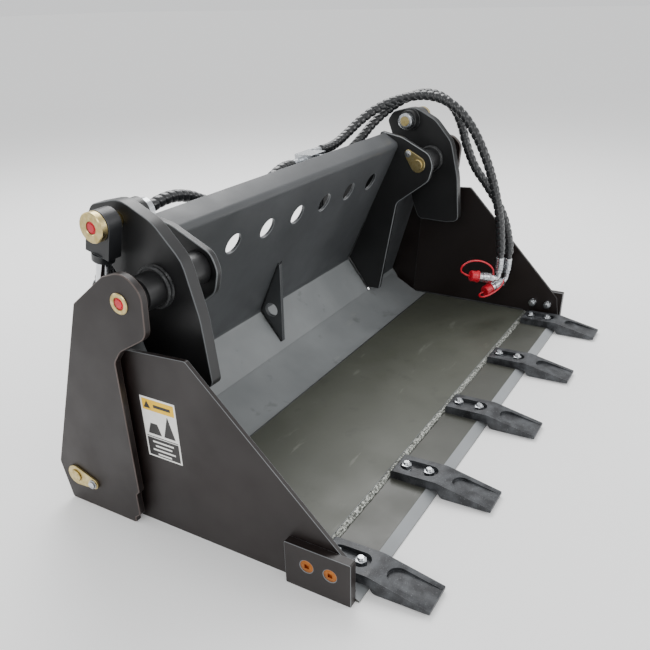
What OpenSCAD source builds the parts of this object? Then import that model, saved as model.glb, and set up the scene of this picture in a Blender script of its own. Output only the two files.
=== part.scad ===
// Combination bucket for a skid steer loader: a rear frame, and a clam that two cylinders open.
// Profiles are in the YZ plane. Their Y is 0 at the seam between floor and rear lip, and rises to the rear.

/* [Overall] */
// Width over the clam's side plates
bucket_w = 1524; // [1220:1:2000]
// Depth of the clam's floor, from the cutting lip back to the rear seam
floor_depth = 508; // [460:1:640]
// Height of the clam's pivot above the ground
pivot_h = 535; // [520:1:600]

/* [Plates] */
// Thickness of the clam's side plates
side_t = 10; // [6:0.5:12]
// Thickness of the rear frame's outer plates
outer_t = 16; // [8:0.5:20]
// Gap between a side plate and an outer plate
side_gap = 13; // [6:0.5:20]
// Distance from a bucket side to the inner face of an inner ear
ear_inset = 212; // [200:1:240]
// Thickness of the inner ears
ear_t = 16; // [10:0.5:20]
// Distance from a bucket side to the outer face of a lift arm
arm_inset = 75; // [72:0.5:90]
// Thickness of the lift arms
arm_t = 30; // [20:0.5:36]
// Thickness of the folded back board
board_t = 8; // [5:0.5:12]
// Thickness of the floor and the rear lip
floor_t = 9; // [6:0.5:12]
// Thickness of both cutting edges
edge_t = 16; // [12:0.5:22]
// Width of the front cutting edge, front to back
edge_w = 158; // [140:1:200]
// Thickness of the bolted side cutters
cutter_t = 20; // [12:0.5:25]

/* [Teeth] */
// Width of a tooth
tooth_w = 78; // [60:1:90]
// How far a tooth stands in front of the lip
tooth_reach = 132; // [100:1:160]
// Distance between the two bolts of a tooth
bolt_pitch = 58; // [50:1:64]
// Diameter of the plow bolts
bolt_d = 16; // [12:0.5:18]

/* [Pins and cylinders] */
// Diameter of the pivot pins
pivot_d = 38; // [30:0.5:44]
// Diameter of the cylinder pins
pin_d = 30; // [20:0.5:32]
// Outside diameter of a cylinder barrel
barrel_d = 60; // [50:0.5:62]
// Wall of a cylinder barrel
barrel_wall = 5; // [3:0.5:8]
// Diameter of a cylinder rod
rod_d = 28; // [20:0.5:32]
// Radial running clearance of a pin, a rod or a boss
run_gap = 0.05; // [0.02:0.01:0.1]
// Radial clearance of a rod eye on its pin
eye_gap = 8; // [8:0.5:9]

/* [Back board] */
// Number of round holes in the upper wall
hole_count = 7; // [2:1:7]
// Diameter of those holes
hole_d = 57; // [30:1:70]
// Distance between those holes
hole_pitch = 147; // [100:1:150]

/* [Quick attach] */
// Half width of the attach plate
attach_half = 560; // [480:1:570]
// Distance between the two latch slots
slot_spacing = 914; // [800:1:960]
// Length of a latch slot
slot_len = 64; // [40:1:80]
// Width of a latch slot
slot_w = 26; // [20:1:30]

/* [Hoses] */
// Outside diameter of a hose with its spiral guard
hose_d = 30; // [24:1:30]

/* [Hidden] */
$fn = 48;

lip_y = -floor_depth;                         // front of the cutting lip
side_x = bucket_w / 2;                        // outer face of a side plate
side_in = side_x - side_t;
outer_in = side_x + side_gap;                 // inner face of an outer plate
outer_x = outer_in + outer_t;
ear_x = side_x - ear_inset;                   // inner face of an inner ear
ear_out = ear_x + ear_t;
arm_x = side_x - arm_inset;                   // outer face of a lift arm
arm_in = arm_x - arm_t;
cyl_x = (arm_x + side_in) / 2 + 2.5;          // middle plane of a cylinder
floor_top = edge_t + floor_t;
tooth_count = 5;

// Pivot of the clam, pin at the rod's end, pin at the barrel's end, as [y, z]
pivot = [-27, pivot_h];
lever = pivot + [79, 119];
base = [203, 77];

// Back board, from the flange over the top fold and the lower fold to the rear cutting edge
flange_end = pivot + [123, 90];
top_fold = pivot + [69, 59];
low_fold = [232, 185];
slope = [84, 105];                            // run and rise of the board below the lower fold
edge_foot = [84, 0];
board_foot = edge_foot + slope * 62 / slope[1];

// Quick attach plate and the rearmost face of its ledge
attach_y = 244;
attach_t = 10;
attach_top = pivot_h + 10;
ledge_z = 78;
ledge_end = attach_y + 56;
mid_y = (ledge_end + lip_y - tooth_reach) / 2;

// Cylinder, measured from the base pin along the rod
cyl_span = norm(lever - base);
cyl_tilt = atan2(base[0] - lever[0], lever[1] - base[1]);
stroke = 118;
eye_drop = 74;                                // from the top pin down to the flat end of the rod eye
eye_w = 56;                                   // width of the barrel's base eye
rod_eye_w = 34;
rod_eye_d = 58;
barrel_start = 34;
gland_len = 22;
barrel_end = cyl_span - eye_drop - stroke - gland_len;
piston_z = barrel_start + 16 + stroke;
piston_len = 26;
cap_t = 12;

// Bolts
nut_h = 13;
pad_z = edge_t + 11;                          // floor of a tooth's bolt pocket
bolt_rows = [lip_y + 34, lip_y + 34 + bolt_pitch];
cutter_front = lip_y + 8;
cutter_len = 147;
cutter_h = 105;
cutter_rows = [lip_y + 53, lip_y + 105];
cutter_bolt_z = 61;
plug_d = 24;

// Routes of the hoses and of the cap tethers, as [x, y, z] with y at 0 on the rear seam
route_feed_left = [[150, 196, 590], [96, 197, 589], [40, 198, 574], [-16, 199, 553], [-76, 200, 540],
    [-140, 201, 540], [-200, 201, 553], [-256, 202, 576], [-312, 202, 599], [-368, 203, 610], [-432, 204, 605],
    [-500, 206, 584], [-550, 210, 552], [-592, 217, 502], [-624, 228, 442], [-648, 240, 374], [-669, 250, 306],
    [-688, 257, 242], [-703, 258, 200], [-712, 252, 172]];
route_feed_right = [[225, 196, 563], [226, 197, 532], [236, 198, 496], [262, 200, 458], [306, 202, 422],
    [366, 203, 397], [430, 203, 387], [490, 203, 385], [548, 205, 382], [600, 216, 352], [644, 236, 302],
    [676, 252, 248], [698, 258, 200], [712, 252, 172]];
route_a = [[300, 196, 603], [360, 197, 602], [420, 196, 610], [478, 191, 630], [530, 176, 658], [572, 146, 687],
    [600, 100, 711], [614, 44, 727], [622, -14, 733], [628, -70, 722], [632, -120, 694], [634, -162, 652],
    [634, -197, 602], [634, -227, 546], [634, -252, 488], [634, -273, 426], [634, -289, 362], [634, -299, 297],
    [634, -304, 243]];
route_b = [[300, 166, 570], [360, 167, 570], [420, 170, 574], [480, 172, 588], [536, 168, 612], [586, 156, 644],
    [632, 128, 680], [666, 84, 712], [696, 30, 730], [714, -26, 720], [722, -70, 686], [723, -101, 634],
    [722, -124, 574], [719, -160, 508], [717, -204, 458], [716, -244, 408], [713, -278, 354], [707, -299, 304],
    [699, -311, 262], [693, -315, 225]];
route_tether_a = [[563, -229, 187], [549, -215, 197], [531, -207, 213], [527, -213, 233], [543, -233, 246],
    [569, -257, 243], [595, -277, 227], [611, -289, 207], [617, -292, 185]];
route_tether_b = [[599, -271, 128], [582, -263, 125], [566, -266, 123], [560, -280, 124], [572, -296, 129],
    [597, -308, 135], [624, -315, 141], [652, -317, 148], [671, -312, 154]];

function unit(v) = v / norm(v);
function flat_cross(a, b) = a[0] * b[1] - a[1] * b[0];

// Arc that rounds corner b, between a and c, by radius r
function corner(a, b, c, r) =
    r <= 0 ? [b] :
    let (u = unit(a - b), w = unit(c - b), half = acos(u * w) / 2)
    let (m = b + unit(u + w) * r / sin(half), p = b + u * r / tan(half) - m)
    let (turn = (180 - 2 * half) * sign(flat_cross(b - a, c - b)), n = ceil(abs(turn) / 15))
    let (start = atan2(p[1], p[0]))
    [for (i = [0:n]) m + r * [cos(start + turn * i / n), sin(start + turn * i / n)]];

function flat(p) = [p[0], p[1]];
function radius(p) = len(p) > 2 ? p[2] : 0;

// Closed outline through points [y, z, corner radius]
function outline(pts) = [for (i = [0:len(pts) - 1])
    each corner(flat(pts[(i + len(pts) - 1) % len(pts)]), flat(pts[i]), flat(pts[(i + 1) % len(pts)]),
        radius(pts[i]))];

// Open path through points [y, z, corner radius]
function path(pts) = [for (i = [0:len(pts) - 1])
    each (i == 0 || i == len(pts) - 1) ? [flat(pts[i])] :
        corner(flat(pts[i - 1]), flat(pts[i]), flat(pts[i + 1]), radius(pts[i]))];

// Unit normals to the left of an open path, lengthened at its corners
function left_of(v) = unit([-v[1], v[0]]);
function mitre(p, i) =
    i == 0 ? left_of(p[1] - p[0]) :
    i == len(p) - 1 ? left_of(p[i] - p[i - 1]) :
    let (a = left_of(p[i] - p[i - 1]), b = left_of(p[i + 1] - p[i])) (a + b) / (1 + a * b);

// Bent plate of thickness t along an open path, on its left side
function strip(p, t) = concat(p, [for (i = [len(p) - 1:-1:0]) p[i] + t * mitre(p, i)]);

// Teardrop about two round ends, the big one at the origin and the small one at [0, d]
function teardrop(r1, r2, d) = let (a = asin((r1 - r2) / d)) concat(
    [for (i = [0:14]) let (q = 180 - a + (180 + 2 * a) * i / 14) r1 * [cos(q), sin(q)]],
    [for (i = [0:8]) let (q = a + (180 - 2 * a) * i / 8) [0, d] + r2 * [cos(q), sin(q)]]);

module in_frame() translate([0, -mid_y, 0]) children();
module plate_x(x0, x1) translate([x0, 0, 0]) rotate([90, 0, 90]) linear_extrude(x1 - x0) children();
module rod_x(at, x0, x1, d) translate([x0, at[0], at[1]]) rotate([0, 90, 0]) cylinder(d = d, h = x1 - x0);
module both_sides() { children(); mirror([1, 0, 0]) children(); }
module on_side(s) { if (s > 0) children(); else mirror([1, 0, 0]) children(); }

// Tube swept along a route, with flat ends
function route_way(p, i) = unit(p[min(i + 1, len(p) - 1)] - p[max(i - 1, 0)]);
module hose(p, d, aside, sides = 10) {
    n = len(p);
    rings = [for (i = [0:n - 1])
        let (t = route_way(p, i), u = unit(cross(t, aside)), v = cross(t, u))
        for (k = [0:sides - 1]) p[i] + d / 2 * (u * cos(360 * k / sides) + v * sin(360 * k / sides))];
    skin = [for (i = [0:n - 2], k = [0:sides - 1])
        [i * sides + k, i * sides + (k + 1) % sides, (i + 1) * sides + (k + 1) % sides, (i + 1) * sides + k]];
    ends = [[for (k = [sides - 1:-1:0]) k], [for (k = [0:sides - 1]) (n - 1) * sides + k]];
    polyhedron(points = rings, faces = concat(skin, ends), convexity = 6);
}

// Upper wall of the board at height z, on its front face
function wall_y(z) = top_fold[0] + (top_fold[1] - z) * (low_fold[0] - top_fold[0]) / (top_fold[1] - low_fold[1]);
wall_tilt = atan2(low_fold[0] - top_fold[0], top_fold[1] - low_fold[1]);
hole_z = pivot_h - 43;

board_path = path([flange_end, [top_fold[0], top_fold[1], 16], [low_fold[0], low_fold[1], 22], board_foot]);

module mouldboard() in_frame() color("#3a3c3d") difference() {
    plate_x(-ear_x, ear_x) polygon(strip(board_path, board_t));
    for (i = [0:hole_count - 1])
        translate([(i - (hole_count - 1) / 2) * hole_pitch, wall_y(hole_z), hole_z])
            rotate([-90 + wall_tilt, 0, 0]) translate([0, 0, -30]) cylinder(d = hole_d, h = 60);
}

ear_foot = 88;                                // height of the ear's foot, just above the clam's rear lip
ear_profile = outline([
    [flange_end[0] + 14, flange_end[1] + 4, 8], [top_fold[0] - 8, top_fold[1] + 21, 40],
    [pivot[0] - 36, pivot[1] + 34, 34], [pivot[0] - 50, pivot[1] - 2, 36], [pivot[0] - 38, pivot[1] - 50, 34],
    [pivot[0] + 73, pivot[1] - 131, 30], [104, ear_foot, 8],
    concat(board_foot + slope * (ear_foot - board_foot[1]) / slope[1] + [2, 0], [3]),
    [low_fold[0] + board_t, low_fold[1] + 4, 12]]);

module inner_ear(s) in_frame() color("#27282a") on_side(s) difference() {
    plate_x(ear_x, ear_out) polygon(ear_profile);
    rod_x(pivot, ear_x - 1, ear_out + 1, pivot_d + 2 * run_gap);
}

outer_profile = outline([
    [pivot[0] - 58, pivot[1] + 28, 40], [pivot[0] - 20, pivot[1] + 64, 44], [pivot[0] + 34, pivot[1] + 46, 30],
    [98, 512, 8], [257, 97, 14], [239, 0, 6], [40, 0, 4], [40, 14], [24, 27, 6], [24, 82, 4], [14, 92, 4],
    [14, 405, 18], [-6, 432, 30], [pivot[0] - 52, pivot[1] - 60, 30]]);

module outer_plate(s) in_frame() color("#2c2422") on_side(s) difference() {
    plate_x(outer_in, outer_x) polygon(outer_profile);
    rod_x(pivot, outer_in - 1, outer_x + 1, pivot_d + 2 * run_gap);
    rod_x(base, outer_in - 1, outer_x + 1, pin_d + 2 * run_gap);
}

shield_t = 6;
shield_path = path([[50, 445], [156, 92, 6], board_foot]);
module cylinder_shields() in_frame() color("#4a4c4d") both_sides()
    plate_x(ear_out, outer_in) polygon(strip(shield_path, shield_t));

edge_back = [edge_t * norm(slope) / slope[1], 0];
module rear_cutting_edge() in_frame() color("#303132") plate_x(-outer_in, outer_in)
    polygon([edge_foot, edge_foot + edge_back, board_foot + [edge_t * 0.78, -edge_t * 0.62], board_foot]);

gusset_t = 12;
module centre_gusset() in_frame() color("#3a3c3d") difference() {
    plate_x(-gusset_t / 2, gusset_t / 2)
        polygon(outline([[wall_y(352), 352, 3], [low_fold[0] - 2, low_fold[1] + 1, 4], [157, 91, 3]]));
    rod_x([192, 194], -gusset_t, gusset_t, 42);
}

rib_t = 10;
pad_in = 380;                                 // inner edge of an attach pad
rib_xs = [for (s = [-1, 1], x = [pad_in + 15, attach_half - 20]) s * x];
hose_pass = [203, 385];                       // where a feed hose goes through the ribs
module back_ribs() in_frame() color("#2c2d2e") for (x = rib_xs) {
    back = [board_t / cos(wall_tilt), 0];
    upper = [[wall_y(attach_top - 10), attach_top - 10] + back, [attach_y, attach_top - 10],
        [attach_y, low_fold[1]], low_fold + back];
    lower = [[low_fold[0] + 7, low_fold[1] - 8], [attach_y, low_fold[1] - 8], [attach_y, board_foot[1]],
        board_foot + [11, 0]];
    plate_x(x - rib_t / 2, x + rib_t / 2) {
        difference() {
            polygon(upper);
            translate(hose_pass) circle(d = hose_d + 18);
        }
        polygon(lower);
    }
}

// Two pads joined by a hooked top rail and a bottom rail: the loader's upper edge goes up under the hook
rail_h = 60;
module attach_plate() in_frame() color("#2c2d2e") difference() {
    plate_x(-attach_half, attach_half)
        polygon(strip(path([[attach_y, ledge_z], [attach_y, attach_top + 8, 14], [ledge_end - 8, attach_top - 18]]),
            -attach_t));
    translate([-pad_in, attach_y - 1, ledge_z + rail_h])
        cube([2 * pad_in, attach_t + 2, attach_top - ledge_z - 2 * rail_h]);
}

module attach_ledge() in_frame() color("#2c2d2e") difference() {
    plate_x(-attach_half, attach_half)
        polygon([[attach_y, ledge_z], [ledge_end, ledge_z], [ledge_end, ledge_z - attach_t],
            [attach_y, ledge_z - attach_t]]);
    for (s = [-1, 1]) translate([s * slot_spacing / 2, attach_y + 34, ledge_z - 2 * attach_t]) {
        translate([-(slot_len - slot_w) / 2, -slot_w / 2, 0]) cube([slot_len - slot_w, slot_w, 3 * attach_t]);
        for (e = [-1, 1]) translate([e * (slot_len - slot_w) / 2, 0, 0]) cylinder(d = slot_w, h = 3 * attach_t);
    }
}

bracket_t = 14;
bracket_x = cyl_x - max(barrel_d, eye_w) / 2 - 1.5 - bracket_t;
module base_brackets() in_frame() color("#2c2d2e") both_sides() difference() {
    plate_x(bracket_x, bracket_x + bracket_t)
        polygon(outline([board_foot + [edge_t * 0.78 + 4, 2], [168, 100], [176, 130, 14],
            [base[0] + 22, base[1] + 40, 20], [base[0] + 40, base[1] - 8, 24], [base[0] + 6, base[1] - 44, 24],
            edge_foot + edge_back + slope * 44 / slope[1]]));
    rod_x(base, bracket_x - 1, bracket_x + bracket_t + 1, pin_d + 2 * run_gap);
}

pin_out = 3;                                  // how far a pivot pin stands out of the outer plate
flag_t = 6;
module pivot_pins() in_frame() color("#c9a85a") both_sides() difference() {
    union() {
        rod_x(pivot, ear_x, outer_x, pivot_d);
        rod_x(pivot, outer_x, outer_x + pin_out, pivot_d + 4);
    }
    rod_x(pivot, outer_x - 8, outer_x + pin_out + 1, plug_d);
}

module base_pins() in_frame() color("#c9a85a") both_sides() rod_x(base, bracket_x, outer_x, pin_d);

module pivot_plugs() in_frame() color("#c8281e") both_sides()
    rod_x(pivot, outer_x - 8, outer_x + pin_out - 1, plug_d);

// Locking flags: inside each inner ear on the pivot pin, and outside each outer plate on the base pin
ear_flag = [47, 48];                          // length over the two centres, and tilt of the flag
base_flag = [52, -98];
function flag_end(at, flag) = at + flag[0] * [sin(flag[1]), cos(flag[1])];
module flag(at, way) translate([0, at[0], at[1]]) rotate([way, 0, 0]) children();
module flag_plates() in_frame() color("#c9a85a") both_sides() {
    flag(pivot, -ear_flag[1]) plate_x(ear_x - flag_t, ear_x) polygon(teardrop(25, 13, ear_flag[0]));
    flag(base, -base_flag[1]) plate_x(outer_x, outer_x + flag_t) polygon(teardrop(25, 14, base_flag[0]));
    rod_x(pivot, ear_x - flag_t - 5, ear_x - flag_t, 32);
    rod_x(base, outer_x + flag_t, outer_x + flag_t + 4, 30);
}

module hex_head(at, x0, x1, af) translate([x0, at[0], at[1]]) rotate([0, 90, 0])
    cylinder(d = af / cos(30), h = x1 - x0, $fn = 6);
module flag_bolts() in_frame() color("#d8c07a") both_sides() {
    hex_head(flag_end(pivot, ear_flag), ear_x - flag_t - 7, ear_x - flag_t, 17);
    hex_head(flag_end(base, base_flag), outer_x + flag_t, outer_x + flag_t + 7, 17);
}

// Manifold block on a bracket behind the flange, with a port for each hose
manifold = [225, 181, 588];
module hose_manifold() in_frame() color("#8e9194") {
    translate(manifold + [-40, -30, -24]) cube([80, 60, 48]);
    plate_x(manifold[0] - 6, manifold[0] + 6)
        polygon([[top_fold[0] + 12, top_fold[1] - 12], [flange_end[0] - 8, flange_end[1] - 14],
            [manifold[1] - 30, manifold[2] + 20], [manifold[1] - 30, manifold[2] - 20]]);
    for (r = [[route_a[0], 1], [route_b[0], 1], [route_feed_left[0], -1]]) {
        start = manifold[0] + r[1] * 40;
        rod_x([r[0][1], r[0][2]], min(start, r[0][0]), max(start, r[0][0]), 24);
    }
    translate([route_feed_right[0][0], route_feed_right[0][1], route_feed_right[0][2]])
        cylinder(d = 24, h = manifold[2] - route_feed_right[0][2]);
}

module feed_hose_left() in_frame() color("#1d1e20") hose(route_feed_left, hose_d, [0, 1, 0]);
module feed_hose_right() in_frame() color("#1d1e20") hose(route_feed_right, hose_d, [0, 1, 0]);
module machine_hose_a() in_frame() color("#1d1e20") hose(route_a, hose_d, [1, 1, -1]);
module machine_hose_b() in_frame() color("#1d1e20") hose(route_b, hose_d, [1, 1, -1]);

// Crimped ferrule under the hose, then an elbow that turns towards the coupler
ferrule_len = 42;
end_drop = 75;
module hose_end(p) {
    tip = p[len(p) - 1];
    translate([tip[0], tip[1], tip[2] - ferrule_len]) cylinder(d = 27, h = ferrule_len);
    translate([tip[0], tip[1], tip[2] - end_drop]) {
        cylinder(d = 18, h = end_drop - ferrule_len);
        sphere(d = 24);
    }
}
module hose_end_a() in_frame() color("#b9bcc0") hose_end(route_a);
module hose_end_b() in_frame() color("#b9bcc0") hose_end(route_b);

// Flat-face coupler and its dust cap, laid out along their own axis from the elbow
lean_a = [-72, 76, 22];
lean_b = [-94, 44, -22];
module towards(v) rotate([0, acos(v[2] / norm(v)), atan2(v[1], v[0])]) children();
elbow_a = route_a[len(route_a) - 1] - [0, 0, end_drop];
elbow_b = route_b[len(route_b) - 1] - [0, 0, end_drop];
coupler_len = 76;
module coupler_body() {
    translate([0, 0, 11.5]) cylinder(d = 20, h = 15);
    translate([0, 0, 22]) cylinder(d = 30 / cos(30), h = 16, $fn = 6);
    translate([0, 0, 38]) cylinder(d = 34, h = 24);
    translate([0, 0, 60]) cylinder(d = 30, h = coupler_len - 60);
}
module cap_body() translate([0, 0, coupler_len]) {
    cylinder(d = 36, h = 30);
    cylinder(d = 41, h = 5);
}
module coupler_a() in_frame() color("#a9acb0") translate(elbow_a) towards(lean_a) coupler_body();
module coupler_b() in_frame() color("#a9acb0") translate(elbow_b) towards(lean_b) coupler_body();
module dust_cap_a() in_frame() color("#c8182c") translate(elbow_a) towards(lean_a) cap_body();
module dust_cap_b() in_frame() color("#c8182c") translate(elbow_b) towards(lean_b) cap_body();
module tether_a() in_frame() color("#c8182c") hose(route_tether_a, 6, [0, 1, 0.3], 8);
module tether_b() in_frame() color("#c8182c") hose(route_tether_b, 6, [0, 1, 0.3], 8);

floor_front = lip_y + 128;
module floor_plate() in_frame() color("#4b4d46")
    translate([-side_in, floor_front, edge_t]) cube([2 * side_in, -floor_front, floor_t]);

// The rear lip is cut parallel to the board's slope, just clear of it
lip_bend = [46, floor_top];
lip_top = [146, floor_top + 54];
module rear_lip() in_frame() color("#5a5c5c") {
    under = (lip_top - lip_bend) / norm(lip_top - lip_bend);
    foot = [131, floor_top + 35.6];
    plate_x(-side_in, side_in)
        polygon([[0, floor_top], lip_bend, lip_top, foot, lip_bend + floor_t * [under[1], -under[0]],
            lip_bend - [0, floor_t], [0, floor_top - floor_t]]);
}

module floor_weld() in_frame() color("#8a8c86") plate_x(-side_in, side_in)
    polygon([[floor_front, edge_t], [floor_front - 9, edge_t], [floor_front - 6, edge_t + 5],
        [floor_front, floor_top - 1]]);

bevel_w = 24;
module front_cutting_edge() in_frame() color("#43453f") difference() {
    plate_x(-side_x, side_x)
        polygon([[lip_y, 0], [lip_y, 3], [lip_y + bevel_w, edge_t], [lip_y + edge_w, edge_t], [lip_y + edge_w, 0]]);
    for (x = tooth_xs, y = bolt_rows) translate([x, y, -1]) cylinder(d = bolt_d + 0.6, h = edge_t + 2);
}

side_profile = outline([[31, 421, 34], [-139, 431, 10], [lip_y + 24, 88, 6], [lip_y + 12, edge_t],
    [lip_y + edge_w, edge_t], [lip_y + edge_w, 0], [56, 0, 8]]);
module side_plate(s) in_frame() color("#2a2220") on_side(s) difference() {
    plate_x(side_in, side_x) polygon(side_profile);
    for (y = cutter_rows) rod_x([y, cutter_bolt_z], side_in - 1, side_x + 1, bolt_d + 0.6);
}

module side_cutters() in_frame() color("#252220") both_sides() difference() {
    plate_x(side_x, side_x + cutter_t)
        polygon(outline([[cutter_front, 0, 2], [cutter_front, cutter_h, 3],
            [cutter_front + cutter_len, cutter_h, 3], [cutter_front + cutter_len, 0, 2]]));
    for (y = cutter_rows) {
        rod_x([y, cutter_bolt_z], side_x - 1, side_x + cutter_t + 1, bolt_d + 0.6);
        translate([side_x + cutter_t - 9, y, cutter_bolt_z]) rotate([0, 90, 0])
            cylinder(d1 = bolt_d + 0.6, d2 = 30, h = 9.01);
    }
}

arm_profile = outline([
    [137, pivot[1] + 112, 16], [118, pivot[1] + 140, 26], [42, pivot[1] + 158, 60], [-34, pivot[1] + 122, 70],
    [-94, pivot[1] + 58, 70], [-123, pivot[1] - 52, 120], [-137, 338, 18], [-96, 330, 16], [10, 332, 24],
    [36, 392, 40], [66, pivot[1] - 10, 60], [116, pivot[1] + 60, 40]]);
module lift_arm(s) in_frame() color("#2b2b2d") on_side(s) difference() {
    plate_x(arm_in, arm_x) polygon(arm_profile);
    rod_x(pivot, arm_in - 1, arm_x + 1, pivot_d + 2 * run_gap);
    rod_x(lever, arm_in - 1, arm_x + 1, pin_d + 2 * run_gap);
}

// Bosses on both faces of an arm: pivot tubes with a thick welded root, and a ring round the top pin
boss_gap = 1.5;
module arm_bosses() in_frame() color("#242527") both_sides() difference() {
    union() {
        rod_x(pivot, ear_out + boss_gap, arm_in, 70);
        rod_x(pivot, arm_in - 14, arm_in, 80);
        rod_x(pivot, arm_x, outer_in - boss_gap - 26, 70);
        rod_x(pivot, outer_in - boss_gap - 26, outer_in - boss_gap, 64);
        rod_x(pivot, arm_x, arm_x + 14, 80);
        rod_x(lever, arm_in - 30, arm_in, 60);
    }
    rod_x(pivot, ear_out - 1, outer_in + 1, pivot_d + 2 * run_gap);
    rod_x(lever, arm_in - 31, arm_in + 1, pin_d + 2 * run_gap);
}

module arm_webs() in_frame() color("#242527") both_sides()
    for (y = [-60, -18]) translate([arm_x, y, 334]) cube([side_in - arm_x, 14, 44]);

bush_len = 20;
head_t = 16;
top_head = cyl_x + rod_eye_w / 2 + 1;
module top_pins() in_frame() color("#c9a85a") both_sides() difference() {
    union() {
        rod_x(lever, arm_in - 30 - bush_len - 3, top_head, pin_d);
        rod_x(lever, top_head, top_head + head_t, 58);
    }
    rod_x(lever, top_head + head_t - 8, top_head + head_t + 1, plug_d);
}
module top_bushes() in_frame() color("#c8cacc") both_sides() difference() {
    rod_x(lever, arm_in - 30 - bush_len, arm_in - 30, 48);
    rod_x(lever, arm_in - 31 - bush_len, arm_in - 29, pin_d + 2 * run_gap);
}
module top_plugs() in_frame() color("#c8281e") both_sides()
    rod_x(lever, top_head + head_t - 8, top_head + head_t - 1, plug_d);

// Teeth: a flat shank with a bolt pocket, and a nose with a scooped pocket
tooth_gap = 22;                               // between an end tooth and its side plate
tooth_span = side_in - tooth_gap - tooth_w / 2;
tooth_xs = [for (i = [0:tooth_count - 1]) -tooth_span + i * 2 * tooth_span / (tooth_count - 1)];
shank_len = 116;
shank_h = edge_t + 21;
nose_h = 13;
tooth_profile = outline([[lip_y + shank_len, edge_t, 2], [lip_y + shank_len, shank_h, 5],
    [lip_y + 2, shank_h + 3, 24], [lip_y - tooth_reach, nose_h, 2], [lip_y - tooth_reach, 4, 2],
    [lip_y - 12, 0.5, 12], [lip_y - 2, edge_t]]);
scoop_tilt = atan2(shank_h + 3 - nose_h, tooth_reach + 2);
module round_slot(len, w, h) {
    translate([-w / 2, w / 2, 0]) cube([w, len - w, h]);
    for (y = [w / 2, len - w / 2]) translate([0, y, 0]) cylinder(d = w, h = h);
}
module tooth(i) in_frame() color("#2e2f31") translate([tooth_xs[i - 1], 0, 0]) difference() {
    plate_x(-tooth_w / 2, tooth_w / 2) polygon(tooth_profile);
    translate([0, lip_y + 12, pad_z]) round_slot(shank_len - 22, 44, 40);
    translate([0, lip_y - tooth_reach, nose_h]) rotate([scoop_tilt - 4, 0, 0]) translate([0, -50, -0.6])
        round_slot(50 + tooth_reach - 24, tooth_w - 26, 40);
    for (y = bolt_rows) translate([0, y, 0]) cylinder(d = bolt_d + 0.6, h = 60);
}

module nut_z(x, y, z) translate([x, y, z]) difference() {
    cylinder(d = 24 / cos(30), h = nut_h, $fn = 6);
    translate([0, 0, -1]) cylinder(d = bolt_d, h = nut_h + 2);
}
module plow_bolts() in_frame() color("#c2a060") {
    for (x = tooth_xs, y = bolt_rows) translate([x, y, 0.5]) cylinder(d = bolt_d, h = pad_z + nut_h + 6);
    both_sides() for (y = cutter_rows) {
        rod_x([y, cutter_bolt_z], side_in - nut_h - 6, side_x + cutter_t - 9, bolt_d);
        translate([side_x + cutter_t - 9, y, cutter_bolt_z]) rotate([0, 90, 0])
            cylinder(d1 = bolt_d, d2 = 29, h = 8.5);
    }
}
module plow_nuts() in_frame() color("#c8cacc") {
    for (x = tooth_xs, y = bolt_rows) nut_z(x, y, pad_z);
    both_sides() for (y = cutter_rows) translate([side_in, y, cutter_bolt_z]) rotate([0, -90, 0]) nut_z(0, 0, 0);
}

label_w = 92;
label_h = 145;
module labels() in_frame() color("#e8e6e0") both_sides()
    translate([side_x, -98, 182]) cube([0.6, label_w, label_h]);

// Cylinders, drawn upright from the base pin and tilted into place
module cylinder_frame(s) in_frame() on_side(s) translate([cyl_x, base[0], base[1]]) rotate([cyl_tilt, 0, 0])
    children();
module cross_rod(z, w, d) translate([-w / 2, 0, z]) rotate([0, 90, 0]) cylinder(d = d, h = w);
bore_d = barrel_d - 2 * barrel_wall;

module barrel(s) color("#1f2022") cylinder_frame(s) difference() {
    union() {
        cross_rod(0, eye_w, 60);
        translate([-eye_w / 2, -30, 0]) cube([eye_w, 60, barrel_start]);
        translate([0, 0, barrel_start - 4]) cylinder(d = barrel_d, h = barrel_end - barrel_start + 4);
        translate([0, barrel_d / 2 - 6, 60]) rotate([-90, 0, 0]) cylinder(d = 26, h = 16);
        translate([0, barrel_d / 2 - 6, barrel_end - 26]) rotate([-90, 0, 0]) cylinder(d = 26, h = 16);
    }
    cross_rod(0, eye_w + 2, pin_d + 2 * run_gap);
    translate([0, 0, barrel_start + cap_t]) cylinder(d = bore_d, h = barrel_end);
}
module gland(s) color("#3a3b3d") cylinder_frame(s) translate([0, 0, barrel_end]) difference() {
    union() {
        cylinder(d = barrel_d, h = gland_len - 4);
        cylinder(d = barrel_d - 12, h = gland_len);
        translate([0, 0, -18]) cylinder(d = bore_d, h = 19);
    }
    translate([0, 0, -20]) cylinder(d = rod_d + 2 * run_gap, h = gland_len + 24);
}
module rod(s) color("#d8dadc") cylinder_frame(s) {
    translate([0, 0, piston_z]) cylinder(d = rod_d, h = cyl_span - eye_drop + 12 - piston_z);
    translate([0, 0, piston_z]) cylinder(d = bore_d - 0.6, h = piston_len);
}
module rod_eye(s) color("#1f2022") cylinder_frame(s) difference() {
    union() {
        cross_rod(cyl_span, rod_eye_w, rod_eye_d);
        translate([-rod_eye_w / 2, -rod_eye_d / 2, cyl_span - eye_drop + 14])
            cube([rod_eye_w, rod_eye_d, eye_drop - 14]);
        translate([0, 0, cyl_span - eye_drop]) cylinder(d1 = 44, d2 = 46, h = 15);
    }
    cross_rod(cyl_span, rod_eye_w + 2, pin_d + 2 * eye_gap);
    translate([0, 0, cyl_span - eye_drop - 1]) cylinder(d = rod_d, h = 13);
}

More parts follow.
